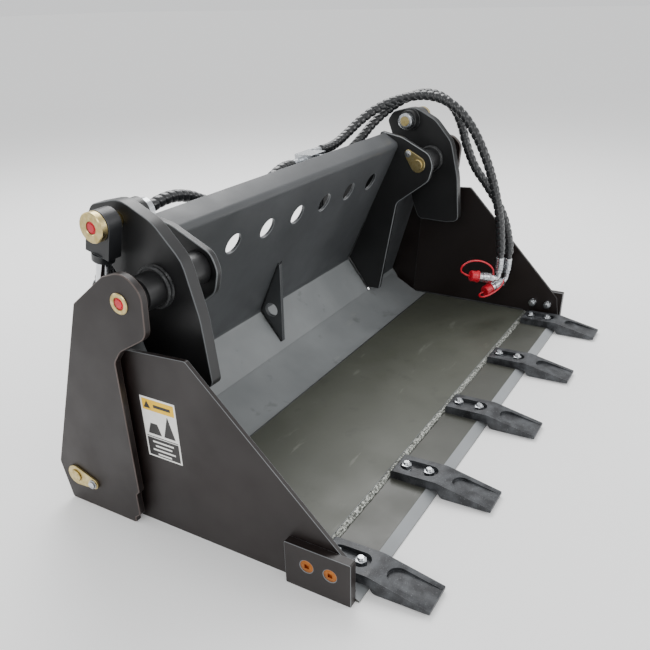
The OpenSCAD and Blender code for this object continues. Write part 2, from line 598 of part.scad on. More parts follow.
mouldboard();
inner_ear(-1);  // inner_ear_left
inner_ear(1);  // inner_ear_right
outer_plate(-1);  // outer_plate_left
outer_plate(1);  // outer_plate_right
cylinder_shields();
rear_cutting_edge();
centre_gusset();
back_ribs();
attach_plate();
attach_ledge();
base_brackets();
pivot_pins();
base_pins();
pivot_plugs();
flag_plates();
flag_bolts();
hose_manifold();
feed_hose_left();
feed_hose_right();
machine_hose_a();
machine_hose_b();
hose_end_a();
hose_end_b();
coupler_a();
coupler_b();
dust_cap_a();
dust_cap_b();
tether_a();
tether_b();
floor_plate();
rear_lip();
floor_weld();
front_cutting_edge();
side_plate(-1);  // side_plate_left
side_plate(1);  // side_plate_right
lift_arm(-1);  // lift_arm_left
lift_arm(1);  // lift_arm_right
arm_bosses();
arm_webs();
top_pins();
top_bushes();
top_plugs();
side_cutters();
plow_bolts();
plow_nuts();
labels();
tooth(1);  // tooth_1
tooth(2);  // tooth_2
tooth(3);  // tooth_3
tooth(4);  // tooth_4
tooth(5);  // tooth_5
barrel(-1);  // barrel_left
gland(-1);  // gland_left
rod(-1);  // rod_left
rod_eye(-1);  // rod_eye_left
barrel(1);  // barrel_right
gland(1);  // gland_right
rod(1);  // rod_right
rod_eye(1);  // rod_eye_right
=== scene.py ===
"""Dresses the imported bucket: hoses, welds, bolts, pins, label and paint, each piece on its own CAD body."""
from math import cos, pi, radians, sin

import bmesh
import bpy
from mathutils import Matrix, Vector, noise


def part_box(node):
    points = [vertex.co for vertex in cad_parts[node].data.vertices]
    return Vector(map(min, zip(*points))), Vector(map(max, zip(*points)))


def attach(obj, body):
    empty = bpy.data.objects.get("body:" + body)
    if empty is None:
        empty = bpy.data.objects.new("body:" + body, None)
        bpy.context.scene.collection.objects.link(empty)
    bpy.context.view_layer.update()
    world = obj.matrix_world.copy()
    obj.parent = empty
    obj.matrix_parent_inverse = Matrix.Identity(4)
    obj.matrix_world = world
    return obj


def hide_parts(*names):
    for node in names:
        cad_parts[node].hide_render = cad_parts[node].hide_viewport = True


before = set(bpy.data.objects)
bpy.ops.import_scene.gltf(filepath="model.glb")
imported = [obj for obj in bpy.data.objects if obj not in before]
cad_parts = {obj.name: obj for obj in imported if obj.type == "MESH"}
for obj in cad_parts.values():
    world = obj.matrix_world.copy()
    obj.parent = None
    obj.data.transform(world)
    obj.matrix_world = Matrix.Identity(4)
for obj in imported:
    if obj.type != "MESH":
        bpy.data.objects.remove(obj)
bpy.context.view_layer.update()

bl_info = {
    "name": "Combination bucket",
    "version": (1, 0, 0),
    "blender": (4, 5, 0),
    "location": "3D View > Sidebar > Bucket",
    "description": "Models and paints the visible pieces of a skid steer combination bucket",
    "category": "Object",
}

MM = 0.001
SEAM_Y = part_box("floor_plate")[1][1]          # the seam of floor and rear lip, where the profiles start
EAR_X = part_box("inner_ear_right")[0][0]       # inner face of an inner ear
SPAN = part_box("floor_plate")[1][0]            # half the width of the clam's floor
EDGE_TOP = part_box("front_cutting_edge")[1][2]
LIP_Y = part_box("front_cutting_edge")[0][1]
BOTH = (-1, 1)
# Places on a side, as (y, z) in the measure of at()
PIVOT_YZ = (-27, 535)                         # the clam's pivot
LEVER_YZ = (52, 654)                          # the top pin, at the rod's eye
BASE_YZ = (203, 77)                           # the pin at the barrel's foot
BASE_FLAG_YZ = (151.5, 69.8)                  # bolt of a base pin's flag
EAR_FLAG_YZ = (7.9, 566.4)                    # bolt of a pivot pin's flag
CUTTER_ROWS = (-455, -403)                    # y of a side cutter's bolts
CUTTER_BOLT_Z = 61


def at(x, y, z):
    """A point given in millimetres, with y counted from the seam of floor and rear lip."""
    return Vector((x * MM, SEAM_Y + y * MM, z * MM))


def route(points):
    return [at(*p) for p in points]


# Routes of the hoses and cap tethers, the same as in the CAD model
ROUTE_FEED_LEFT = [
    (150, 196, 590), (96, 197, 589), (40, 198, 574), (-16, 199, 553), (-76, 200, 540), (-140, 201, 540),
    (-200, 201, 553), (-256, 202, 576), (-312, 202, 599), (-368, 203, 610), (-432, 204, 605), (-500, 206, 584),
    (-550, 210, 552), (-592, 217, 502), (-624, 228, 442), (-648, 240, 374), (-669, 250, 306), (-688, 257, 242),
    (-703, 258, 200), (-712, 252, 172)]
ROUTE_FEED_RIGHT = [
    (225, 196, 563), (226, 197, 532), (236, 198, 496), (262, 200, 458), (306, 202, 422), (366, 203, 397),
    (430, 203, 387), (490, 203, 385), (548, 205, 382), (600, 216, 352), (644, 236, 302), (676, 252, 248),
    (698, 258, 200), (712, 252, 172)]
ROUTE_A = [
    (300, 196, 603), (360, 197, 602), (420, 196, 610), (478, 191, 630), (530, 176, 658), (572, 146, 687),
    (600, 100, 711), (614, 44, 727), (622, -14, 733), (628, -70, 722), (632, -120, 694), (634, -162, 652),
    (634, -197, 602), (634, -227, 546), (634, -252, 488), (634, -273, 426), (634, -289, 362), (634, -299, 297),
    (634, -304, 243)]
ROUTE_B = [
    (300, 166, 570), (360, 167, 570), (420, 170, 574), (480, 172, 588), (536, 168, 612), (586, 156, 644),
    (632, 128, 680), (666, 84, 712), (696, 30, 730), (714, -26, 720), (722, -70, 686), (723, -101, 634),
    (722, -124, 574), (719, -160, 508), (717, -204, 458), (716, -244, 408), (713, -278, 354), (707, -299, 304),
    (699, -311, 262), (693, -315, 225)]
ROUTE_TETHER_A = [
    (563, -229, 187), (549, -215, 197), (531, -207, 213), (527, -213, 233), (543, -233, 246),
    (569, -257, 243), (595, -277, 227), (611, -289, 207), (617, -292, 185)]
ROUTE_TETHER_B = [
    (599, -271, 128), (582, -263, 125), (566, -266, 123), (560, -280, 124), (572, -296, 129),
    (597, -308, 135), (624, -315, 141), (652, -317, 148), (671, -312, 154)]
END_DROP = 75                                 # from the hose's cut end down to the elbow's middle, in mm
ELBOW_A = at(634, -304, 243 - END_DROP)
ELBOW_B = at(693, -315, 225 - END_DROP)
LEAN_A = Vector((-72, 76, 22))
LEAN_B = Vector((-94, 44, -22))


# ---------------------------------------------------------------- settings

class BucketSizes(bpy.types.PropertyGroup):
    hose_radius: bpy.props.FloatProperty(
        name="Hose radius", description="Outer radius of a hose with its guard", default=0.0148,
        subtype="DISTANCE", unit="LENGTH")
    guard_pitch: bpy.props.FloatProperty(
        name="Guard pitch", description="Length of one turn of the spiral guard", default=0.021,
        subtype="DISTANCE", unit="LENGTH")
    guard_groove: bpy.props.FloatProperty(
        name="Guard groove", description="Depth of the groove between two turns", default=0.0034,
        subtype="DISTANCE", unit="LENGTH")
    tether_radius: bpy.props.FloatProperty(
        name="Tether radius", description="Radius of a dust cap's tether", default=0.0029,
        subtype="DISTANCE", unit="LENGTH")
    edge_round: bpy.props.FloatProperty(
        name="Plate edge", description="Radius that grinding and paint leave on a plate's edge",
        default=0.0014, subtype="DISTANCE", unit="LENGTH")
    weld_radius: bpy.props.FloatProperty(
        name="Weld radius", description="Radius of a fillet weld's bead", default=0.0045,
        subtype="DISTANCE", unit="LENGTH")
    ripple: bpy.props.FloatProperty(
        name="Weld ripple", description="Distance between two ripples of a weld", default=0.0055,
        subtype="DISTANCE", unit="LENGTH")


class BucketColours(bpy.types.PropertyGroup):
    frame_black: bpy.props.StringProperty(
        name="Frame paint", description="Satin black of frame and arms", default="#161617")
    side_black: bpy.props.StringProperty(
        name="Side paint", description="Warm black of the outside plates", default="#150c0a")
    board_grey: bpy.props.StringProperty(
        name="Board paint", description="Charcoal of the back board", default="#404244")
    # The lip grey is lighter than the board's charcoal as a painted reflection of the bright surroundings on
    # the up-facing lip, not as dust.
    lip_reflection_grey: bpy.props.StringProperty(
        name="Lip paint", description="Dusted grey of the rear lip", default="#7b7e7f")
    floor_olive: bpy.props.StringProperty(
        name="Floor paint", description="Olive grey of the clam's floor", default="#474940")
    zinc_gold: bpy.props.StringProperty(
        name="Yellow zinc", description="Yellow chromated zinc of pins and flags", default="#cdbd8b")
    cap_red: bpy.props.StringProperty(
        name="Cap red", description="Red of plugs, dust caps and tethers", default="#d0142c")


def sizes():
    return bpy.context.scene.bucket_sizes


def colours():
    return bpy.context.scene.bucket_colours


# ---------------------------------------------------------------- materials

def linear(code):
    """An sRGB hex colour as a linear RGBA tuple."""
    parts = [int(code[i:i + 2], 16) / 255 for i in (1, 3, 5)]
    return (*[c / 12.92 if c <= 0.04045 else ((c + 0.055) / 1.055) ** 2.4 for c in parts], 1.0)


def add(tree, kind, inputs=None, **settings):
    """Adds one node, with its settings, values and links."""
    new = tree.nodes.new(kind)
    for key, value in settings.items():
        setattr(new, key, value)
    for key, value in (inputs or {}).items():
        if isinstance(value, bpy.types.NodeSocket):
            tree.links.new(value, new.inputs[key])
        else:
            new.inputs[key].default_value = value
    return new


def start_material(name):
    material = bpy.data.materials.new(name)
    material.use_nodes = True
    tree = material.node_tree
    tree.nodes.clear()
    where = add(tree, "ShaderNodeTexCoord").outputs["Object"]
    return material, tree, where


def end_material(material, tree, inputs):
    shader = add(tree, "ShaderNodeBsdfPrincipled", inputs)
    add(tree, "ShaderNodeOutputMaterial", {"Surface": shader.outputs["BSDF"]})
    return material


def per(mm):
    """Noise scale for features of that many millimetres."""
    return 1000 / mm


def mixed(tree, factor, low, high):
    mix = add(tree, "ShaderNodeMix", {"Factor": factor, "A": low, "B": high}, data_type="RGBA")
    return mix.outputs["Result"]


def ranged(tree, value, low, high, out_low=0.0, out_high=1.0):
    return add(tree, "ShaderNodeMapRange", {
        "Value": value, "From Min": low, "From Max": high, "To Min": out_low, "To Max": out_high,
    }).outputs["Result"]


def painted_steel(name, code, dust, roughness, scuff=0.0, peel=0.12, blotch_mm=260):
    """Two-pack paint sprayed on hot-rolled plate: even satin, with orange peel and a little workshop dust."""
    material, tree, where = start_material(name)
    blotch = add(tree, "ShaderNodeTexNoise", {"Vector": where, "Scale": per(blotch_mm), "Detail": 4.0})
    colour = mixed(tree, ranged(tree, blotch.outputs["Fac"], 0.42, 0.72), linear(code), linear(dust))
    if scuff:
        # Long thin rubs, drawn out along the bucket's width
        drawn = add(tree, "ShaderNodeMapping", {"Vector": where, "Scale": (0.22, 1.0, 1.0),
                                                "Rotation": (0, 0, radians(24))}).outputs["Vector"]
        rub = add(tree, "ShaderNodeTexNoise", {"Vector": drawn, "Scale": per(34), "Detail": 9.0,
                                               "Roughness": 0.62})
        patch = add(tree, "ShaderNodeTexNoise", {"Vector": where, "Scale": per(170), "Detail": 2.0})
        worn = add(tree, "ShaderNodeMath", {0: ranged(tree, rub.outputs["Fac"], 0.60, 0.68),
                                            1: ranged(tree, patch.outputs["Fac"], 0.52, 0.62, 0.0, scuff)},
                   operation="MULTIPLY")
        colour = mixed(tree, worn.outputs["Value"], colour, linear("#a3a59c"))
        dark = add(tree, "ShaderNodeTexNoise", {"Vector": where, "Scale": per(58), "Detail": 6.0})
        smudge = ranged(tree, dark.outputs["Fac"], 0.63, 0.70, 0.0, scuff)
        colour = mixed(tree, smudge, colour, linear("#26271f"))
    grime = add(tree, "ShaderNodeTexNoise", {"Vector": where, "Scale": per(90), "Detail": 5.0})
    rough = ranged(tree, grime.outputs["Fac"], 0.3, 0.7, roughness - 0.07, roughness + 0.09)
    skin = add(tree, "ShaderNodeTexNoise", {"Vector": where, "Scale": per(2.6), "Detail": 2.0})
    bump = add(tree, "ShaderNodeBump", {"Height": skin.outputs["Fac"], "Strength": peel, "Distance": 0.0004})
    return end_material(material, tree, {
        "Base Color": colour, "Roughness": rough, "Normal": bump.outputs["Normal"], "IOR": 1.5})


def plated_steel(name, code, tint, roughness):
    """Zinc-plated steel: bright metal with a faint, uneven bloom from the passivation."""
    material, tree, where = start_material(name)
    bloom = add(tree, "ShaderNodeTexNoise", {"Vector": where, "Scale": per(9), "Detail": 3.0})
    colour = mixed(tree, ranged(tree, bloom.outputs["Fac"], 0.35, 0.7), linear(code), linear(tint))
    rough = ranged(tree, bloom.outputs["Fac"], 0.3, 0.7, roughness, roughness + 0.16)
    grain = add(tree, "ShaderNodeTexNoise", {"Vector": where, "Scale": per(0.9), "Detail": 2.0})
    bump = add(tree, "ShaderNodeBump", {"Height": grain.outputs["Fac"], "Strength": 0.1, "Distance": 0.0002})
    return end_material(material, tree, {
        "Base Color": colour, "Metallic": 1.0, "Roughness": rough, "Normal": bump.outputs["Normal"]})


def cast_steel():
    """Sand-cast alloy steel under thin black dip paint: pebbled, with bright rubs on the high spots."""
    material, tree, where = start_material("cast_steel_dipped")
    pebble = add(tree, "ShaderNodeTexNoise", {"Vector": where, "Scale": per(3.2), "Detail": 5.0})
    stain = add(tree, "ShaderNodeTexNoise", {"Vector": where, "Scale": per(28), "Detail": 6.0})
    colour = mixed(tree, ranged(tree, stain.outputs["Fac"], 0.4, 0.66), linear("#26272a"), linear("#4b4d50"))
    colour = mixed(tree, ranged(tree, pebble.outputs["Fac"], 0.62, 0.7, 0.0, 0.45), colour, linear("#85878a"))
    bump = add(tree, "ShaderNodeBump", {"Height": pebble.outputs["Fac"], "Strength": 0.5, "Distance": 0.0012})
    return end_material(material, tree, {
        "Base Color": colour, "Metallic": 0.25,
        "Roughness": ranged(tree, stain.outputs["Fac"], 0.3, 0.7, 0.34, 0.55),
        "Normal": bump.outputs["Normal"]})


def hard_chrome():
    """Hard chrome on a ground rod: a clear mirror with a trace of oil."""
    material, tree, where = start_material("hard_chrome")
    film = add(tree, "ShaderNodeTexNoise", {"Vector": where, "Scale": per(40), "Detail": 3.0})
    return end_material(material, tree, {
        "Base Color": linear("#dfe1e4"), "Metallic": 1.0,
        "Roughness": ranged(tree, film.outputs["Fac"], 0.3, 0.7, 0.05, 0.16)})


def moulded_plastic(name, code, deep, roughness, coat=0.0):
    """Injection-moulded polymer: smooth skin, slightly deeper colour where it is thick."""
    material, tree, where = start_material(name)
    flow = add(tree, "ShaderNodeTexNoise", {"Vector": where, "Scale": per(30), "Detail": 2.0})
    colour = mixed(tree, ranged(tree, flow.outputs["Fac"], 0.35, 0.7), linear(code), linear(deep))
    grain = add(tree, "ShaderNodeTexNoise", {"Vector": where, "Scale": per(1.4), "Detail": 2.0})
    bump = add(tree, "ShaderNodeBump", {"Height": grain.outputs["Fac"], "Strength": 0.08, "Distance": 0.0002})
    return end_material(material, tree, {
        "Base Color": colour, "Roughness": roughness, "Coat Weight": coat, "Coat Roughness": 0.12,
        "Normal": bump.outputs["Normal"]})


def weld_metal():
    """Wire-fed weld under thin paint, rubbed back to bright metal along the crown."""
    material, tree, where = start_material("weld_metal_rubbed")
    rub = add(tree, "ShaderNodeTexNoise", {"Vector": where, "Scale": per(5), "Detail": 6.0})
    colour = mixed(tree, ranged(tree, rub.outputs["Fac"], 0.44, 0.6), linear("#4c4e48"), linear("#b9bbb4"))
    bump = add(tree, "ShaderNodeBump", {"Height": rub.outputs["Fac"], "Strength": 0.6, "Distance": 0.001})
    return end_material(material, tree, {
        "Base Color": colour, "Metallic": 0.35, "Roughness": 0.42, "Normal": bump.outputs["Normal"]})


FINISH = {}


def make_finishes():
    c = colours()
    FINISH.update({
        "board": painted_steel("board_paint", c.board_grey, "#4a4c4e", 0.42),
        # The lip finish: a light grey that paints in the reflection of the bright surroundings, with real
        # scuffs on top.
        "lip": painted_steel("lip_paint_painted_reflection", c.lip_reflection_grey, "#8d9091", 0.44, scuff=0.25),
        "frame": painted_steel("frame_paint", c.frame_black, "#1d1e1f", 0.40),
        "side": painted_steel("side_paint", c.side_black, "#1b1210", 0.46),
        "floor": painted_steel("floor_paint", c.floor_olive, "#4e5047", 0.45, scuff=0.22),
        "edge": painted_steel("edge_paint", "#3f403a", "#4a4b44", 0.42, scuff=0.25),
        # Lighter grey, brown and satin finishes for the bevelled edges: painted highlights along the plate
        # edges.
        "edge_highlight_grey": painted_steel("painted_edge_highlight_grey", "#6f7274", "#8a8d8f", 0.36),
        "edge_highlight_brown": painted_steel("painted_edge_highlight_brown", "#4f4440", "#6e625d", 0.38),
        "arm_edge_highlight": painted_steel("arm_painted_edge_highlight", "#55585a", "#6a6d6f", 0.34),
        "forged": painted_steel("forged_black", "#1c1d1f", "#26272a", 0.40, peel=0.25),
        # Lighter finish for the teeth's bevelled edges: a painted highlight.
        "cast_edge_highlight": painted_steel("cast_painted_edge_highlight", "#606366", "#85888b", 0.40, peel=0.4, blotch_mm=24),
        # Light grey for the cutting edge's forward- and up-facing faces: a painted highlight.
        "bevel": painted_steel("cutting_edge_painted_highlight", "#8b8e90", "#9a9da0", 0.36),
        "weld": weld_metal(),
        "painted_weld": painted_steel("painted_weld", "#242526", "#3a3b3c", 0.40, peel=0.3, blotch_mm=40),
        "gold": plated_steel("yellow_zinc", c.zinc_gold, "#b9a46c", 0.26),
        "copper": plated_steel("copper_zinc", "#b5713a", "#a3622f", 0.30),
        "silver": plated_steel("bright_zinc", "#cfd2d5", "#a9acb0", 0.20),
        "cast": cast_steel(),
        "chrome": hard_chrome(),
        "red": moulded_plastic("red_polyethylene", c.cap_red, "#ad0f22", 0.36, coat=0.2),
        "guard": moulded_plastic("guard_polypropylene", "#1b1c1e", "#242628", 0.30, coat=0.3),
        "film_white": moulded_plastic("label_white", "#f4f3ef", "#ebeae5", 0.42),
        "film_yellow": moulded_plastic("label_yellow", "#f7c600", "#f0bc00", 0.42),
        "film_dark": moulded_plastic("label_black", "#1d1a19", "#231f1e", 0.42),
    })


# ---------------------------------------------------------------- mesh tools

def piece(name, bm, finish, body, stands_for=(), smooth_under=40):
    """Makes the object of a finished bmesh, paints it and hangs it on its body."""
    mesh = bpy.data.meshes.new(name)
    bm.to_mesh(mesh)
    bm.free()
    if "custom_normal" in mesh.attributes:
        mesh.attributes.remove(mesh.attributes["custom_normal"])
    mesh.shade_smooth()
    mesh.set_sharp_from_angle(angle=radians(smooth_under))
    for one in (finish if isinstance(finish, (list, tuple)) else [finish]):
        mesh.materials.append(FINISH[one])
    obj = bpy.data.objects.new(name, mesh)
    bpy.context.scene.collection.objects.link(obj)
    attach(obj, body)
    if stands_for:
        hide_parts(*stands_for)
    return obj


def join(bm, part):
    """Adds a finished part to a bmesh, and frees the part."""
    holder = bpy.data.meshes.new("part")
    part.to_mesh(holder)
    part.free()
    bm.from_mesh(holder)
    bpy.data.meshes.remove(holder)


def upright(origin, direction):
    """Places something drawn along +Z at origin, pointing along direction."""
    turn = Vector((0, 0, 1)).rotation_difference(Vector(direction).normalized())
    return Matrix.Translation(origin) @ turn.to_matrix().to_4x4()


def turned(bm, profile, place, steps=36):
    """A lathe-turned part: profile is (radius, height) in millimetres, closed on the axis at both ends."""
    part = bmesh.new()
    verts = [part.verts.new((r * MM, 0, h * MM)) for r, h in profile]
    edges = [part.edges.new(pair) for pair in zip(verts, verts[1:])]
    bmesh.ops.spin(part, geom=verts + edges, cent=(0, 0, 0), axis=(0, 0, 1), angle=2 * pi, steps=steps,
                   use_merge=True)
    bmesh.ops.remove_doubles(part, verts=part.verts, dist=1e-6)
    bmesh.ops.recalc_face_normals(part, faces=part.faces)
    part.transform(place)
    join(bm, part)


def prism(bm, sides, flats, low, high, place, round_mm=0.8):
    """A bar of regular section, its edges rounded. Sizes are in millimetres."""
    part = bmesh.new()
    radius = flats / 2 / cos(pi / sides) * MM
    bmesh.ops.create_cone(part, cap_ends=True, segments=sides, radius1=radius, radius2=radius,
                          depth=(high - low) * MM, matrix=Matrix.Translation((0, 0, (low + high) / 2 * MM)))
    bmesh.ops.bevel(part, geom=part.edges[:], offset=round_mm * MM, affect="EDGES", segments=2, profile=0.5,
                    material=-1)
    part.transform(place)
    join(bm, part)


def smoothed(points, step):
    """Points every step metres or so along one smooth curve through a route."""
    ends = [2 * points[0] - points[1], *points, 2 * points[-1] - points[-2]]
    line = []
    for p0, p1, p2, p3 in zip(ends, ends[1:], ends[2:], ends[3:]):
        count = max(2, round((p2 - p1).length / step))
        for i in range(count):
            t = i / count
            line.append(0.5 * (2 * p1 + (p2 - p0) * t + (2 * p0 - 5 * p1 + 4 * p2 - p3) * t * t
                               + (3 * p1 - p0 - 3 * p2 + p3) * t ** 3))
    return [*line, points[-1]]


def line_length(line):
    return sum((b - a).length for a, b in zip(line, line[1:]))


def swept(bm, line, radius, sides=16):
    """A tube along a line, closed at both ends or into a ring.

    radius(length so far, turn) gives its surface.
    """
    closed = (line[0] - line[-1]).length < 1e-9
    count = len(line)
    way = ((line[1] - line[-2]) if closed else (line[1] - line[0])).normalized()
    side = way.orthogonal().normalized()
    rings, done = [], 0.0
    for i, point in enumerate(line):
        if i:
            done += (point - line[i - 1]).length
            after = line[1] if closed and i == count - 1 else line[min(i + 1, count - 1)]
            new_way = (after - line[i - 1]).normalized()
            side = (way.rotation_difference(new_way) @ side).normalized()
            way = new_way
        rings.append((point, side, way.cross(side), 0.0 if closed and i == count - 1 else done))
    part = bmesh.new()
    bmesh.ops.create_grid(part, x_segments=sides, y_segments=count - 1, size=1)
    for vert in part.verts:
        k, i = round((vert.co.x + 1) / 2 * sides), round((vert.co.y + 1) / 2 * (count - 1))
        point, side, other, length = rings[i]
        turn = k % sides / sides
        reach = radius(length, turn)
        vert.co = point + reach * (side * cos(2 * pi * turn) + other * sin(2 * pi * turn))
    bmesh.ops.remove_doubles(part, verts=part.verts, dist=1e-7)
    if not closed:
        bmesh.ops.holes_fill(part, edges=[e for e in part.edges if e.is_boundary], sides=0)
    bmesh.ops.recalc_face_normals(part, faces=part.faces)
    join(bm, part)


def bead_radius(size, seed=0.0):
    """The rippled surface of a weld bead."""
    pitch = sizes().ripple

    def radius(done, turn):
        ripple = 0.10 * sin(2 * pi * done / pitch)
        rough = 0.16 * noise.noise(Vector((done * 130 + seed, turn * 3, seed)))
        return size * (0.92 + ripple + rough)
    return radius


def weld(bm, corners, size=None, step=0.0016, seed=0.0):
    """A fillet bead along straight runs between corners."""
    size = size or sizes().weld_radius
    line = []
    for a, b in zip(corners, corners[1:]):
        count = max(2, round((b - a).length / step))
        line += [a.lerp(b, i / count) for i in range(count)]
    swept(bm, [*line, corners[-1]], bead_radius(size, seed), sides=8)


def ring_weld(bm, centre, across, size, seed=0.0):
    """A bead round a tube that stands on a plate, about the X axis."""
    count = 120
    line = [centre + across * Vector((0, cos(2 * pi * i / count), sin(2 * pi * i / count)))
            for i in range(count)]
    swept(bm, [*line, line[0]], bead_radius(size, seed), sides=8)


def dress(node, finish, body, round_mm=None, segments=2, suffix="steel"):
    """A CAD plate as its welder leaves it: same shape, with ground and painted edges."""
    bm = bmesh.new()
    bm.from_mesh(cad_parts[node].data)
    bmesh.ops.remove_doubles(bm, verts=bm.verts, dist=2e-6)
    bmesh.ops.dissolve_limit(bm, angle_limit=radians(0.6), verts=bm.verts, edges=bm.edges)
    obj = piece(f"{node}_{suffix}", bm, finish, body, [node], smooth_under=32)
    edge = obj.modifiers.new("edge", "BEVEL")
    edge.width = sizes().edge_round if round_mm is None else round_mm * MM
    edge.segments = segments
    edge.limit_method = "ANGLE"
    edge.angle_limit = radians(32)
    edge.harden_normals = True
    # The bevel faces take the second finish, a lighter paint that stands in for the highlight along each edge.
    if len(obj.data.materials) > 1:
        edge.material = 1
    return obj


# ---------------------------------------------------------------- stage and camera

class BUCKET_OT_stage(bpy.types.Operator):
    """Sets up the pale floor, the soft studio light and the camera"""
    bl_idname = "bucket.stage"
    bl_label = "Stage and camera"

    def execute(self, context):
        scene = context.scene
        azimuth, elevation, roll = radians(-59.1), radians(30.25), -0.0217
        back = Vector((sin(azimuth) * cos(elevation), -cos(azimuth) * cos(elevation), sin(elevation)))
        right = Vector((cos(azimuth), sin(azimuth), 0))
        up = back.cross(right)
        right, up = cos(roll) * right + sin(roll) * up, cos(roll) * up - sin(roll) * right
        camera = bpy.data.objects.new("camera", bpy.data.cameras.new("camera"))
        scene.collection.objects.link(camera)
        camera.matrix_world = Matrix((right, up, back)).transposed().to_4x4()
        camera.location = (-1.6315, -0.7894, 1.0102)
        camera.data.sensor_width = 36
        camera.data.lens = 38.93
        camera.data.shift_x = 0.0011
        camera.data.shift_y = 0.1251
        scene.camera = camera

        floor = bmesh.new()
        bmesh.ops.create_grid(floor, x_segments=1, y_segments=1, size=60)
        bmesh.ops.translate(floor, verts=floor.verts, vec=(0, 0, -0.0006))
        mesh = bpy.data.meshes.new("studio_floor")
        floor.to_mesh(mesh)
        floor.free()
        material, tree, where = start_material("studio_floor_paint")
        cloud = add(tree, "ShaderNodeTexNoise", {"Vector": where, "Scale": per(900), "Detail": 2.0})
        colour = mixed(tree, cloud.outputs["Fac"], linear("#f6f6f5"), linear("#f9f9f9"))
        mesh.materials.append(end_material(material, tree, {
            "Base Color": colour, "Roughness": 0.85, "Emission Color": colour, "Emission Strength": 0.12}))
        ground = bpy.data.objects.new("studio_floor", mesh)
        scene.collection.objects.link(ground)

        world = bpy.data.worlds.new("studio")
        scene.world = world
        world.use_nodes = True
        world.node_tree.nodes["Background"].inputs["Color"].default_value = linear("#fafbfc")
        world.node_tree.nodes["Background"].inputs["Strength"].default_value = 1.0
        for name, spot, aim, size, power in (
                ("overhead", (1.6, 1.3, 3.0), (0.1, -0.1, 0.1), 2.6, 120),
                ("front", (0.9, -3.4, 1.7), (0, 0, 0.2), 2.2, 46),
                ("near_side", (-3.2, -0.6, 2.4), (0, 0, 0.3), 1.6, 22),
                ("rear", (-0.6, 3.4, 2.0), (0, 0, 0.3), 2.0, 30)):
            data = bpy.data.lights.new(name, "AREA")
            data.shape, data.size, data.energy = "DISK", size, power
            lamp = bpy.data.objects.new(name, data)
            lamp.matrix_world = upright(Vector(spot), Vector(spot) - Vector(aim))
            scene.collection.objects.link(lamp)
        return {"FINISHED"}


# ---------------------------------------------------------------- hoses

def guard_radius(total):
    """Surface of a hose in its spiral guard, which ends a little before the hose does."""
    s = sizes()

    def radius(done, turn):
        near_end = min(done, total - done)
        if near_end < 0.012:
            return s.hose_radius * 0.74
        phase = (done / s.guard_pitch - turn) % 1
        return s.hose_radius - s.guard_groove * abs(2 * phase - 1) ** 4
    return radius


def hose(name, points, body):
    line = smoothed(route(points), 0.0015)
    total = line_length(line)
    bm = bmesh.new()
    swept(bm, line, guard_radius(total), sides=20)
    obj = piece(name, bm, "guard", body, smooth_under=60)
    return obj


class BUCKET_OT_hoses(bpy.types.Operator):
    """Makes the four hydraulic hoses in their spiral guards, with fittings, couplers and dust caps"""
    bl_idname = "bucket.hoses"
    bl_label = "Hoses"

    def execute(self, context):
        for letter, points, elbow, lean in (("a", ROUTE_A, ELBOW_A, LEAN_A), ("b", ROUTE_B, ELBOW_B, LEAN_B)):
            hose_end(letter, at(*points[-1]), elbow, lean)
            coupler(letter, elbow, lean)
            dust_cap(letter, elbow, lean)
        for name, points, letter in (("machine_hose_a", ROUTE_A, "a"), ("machine_hose_b", ROUTE_B, "b")):
            obj = hose(name + "_guard", points, "rear_frame")
            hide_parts(name)
        for name, points in (("feed_hose_left", ROUTE_FEED_LEFT), ("feed_hose_right", ROUTE_FEED_RIGHT)):
            obj = hose(name + "_guard", points, "rear_frame")
            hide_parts(name)
        for letter, points in (("a", ROUTE_TETHER_A), ("b", ROUTE_TETHER_B)):
            line = smoothed(route(points), 0.0015)
            bm = bmesh.new()
            radius = sizes().tether_radius
            swept(bm, line, lambda done, turn: radius, sides=12)
            obj = piece(f"tether_{letter}_strap", bm, "red", "rear_frame",
                        [f"tether_{letter}"], smooth_under=60)
        return {"FINISHED"}


def hose_end(letter, tip, elbow, lean):
    """Crimped sleeve, swivel and swept elbow between the hose and its coupler."""
    bm = bmesh.new()
    down = upright(tip, (0, 0, -1))
    profile = [(0, -1), (10.6, -1), (13, 0.5)]
    for ring in range(5):
        start = 3 + ring * 7.2
        profile += [(13.3, start), (13.3, start + 4.6), (12.5, start + 5.2), (12.5, start + 6.6)]
    profile += [(13.2, 39.4), (13.2, 41.2), (11, 42), (0, 42)]
    turned(bm, profile, down)
    prism(bm, 6, 22, 43, 53, down)
    bend = [tip - Vector((0, 0, 52)) * MM]
    out = lean.normalized()
    start, end = elbow + Vector((0, 0, 14)) * MM, elbow + out * 14 * MM
    count = 14
    for i in range(count + 1):
        t = i / count
        bend.append((1 - t) ** 2 * start + 2 * t * (1 - t) * elbow + t * t * end)
    swept(bm, bend, lambda done, turn: 0.0088, sides=24)
    turned(bm, [(0, 0), (10.4, 0), (10.8, 1), (10.8, 4), (10.2, 5), (0, 5)],
           upright(elbow + out * 10 * MM, out))
    return piece(f"hose_end_{letter}_fitting", bm, "silver", "rear_frame",
                 [f"hose_end_{letter}"])


def coupler(letter, elbow, lean):
    """Flat-face coupler: hexagon, locking sleeve with grip grooves, and the turned nose behind the cap."""
    bm = bmesh.new()
    place = upright(elbow, lean)
    turned(bm, [(0, 12), (9.6, 12), (9.9, 12.6), (9.9, 23), (0, 23)], place)
    prism(bm, 6, 29, 22, 37.6, place, round_mm=1.2)
    profile = [(0, 37), (13.4, 37), (15.2, 38.4), (16.2, 39.4)]
    for ring in range(4):
        start = 41 + ring * 4.6
        profile += [(16.8, start), (16.8, start + 2.6), (15.6, start + 3.2), (15.6, start + 4.2)]
    profile += [(16.8, 60), (16.8, 61.6), (15.6, 62), (13.6, 63), (13.6, 66), (14.8, 66.6), (14.8, 75.4),
                (0, 75.8)]
    turned(bm, profile, place, steps=48)
    return piece(f"coupler_{letter}_body", bm, "silver", "rear_frame", [f"coupler_{letter}"])


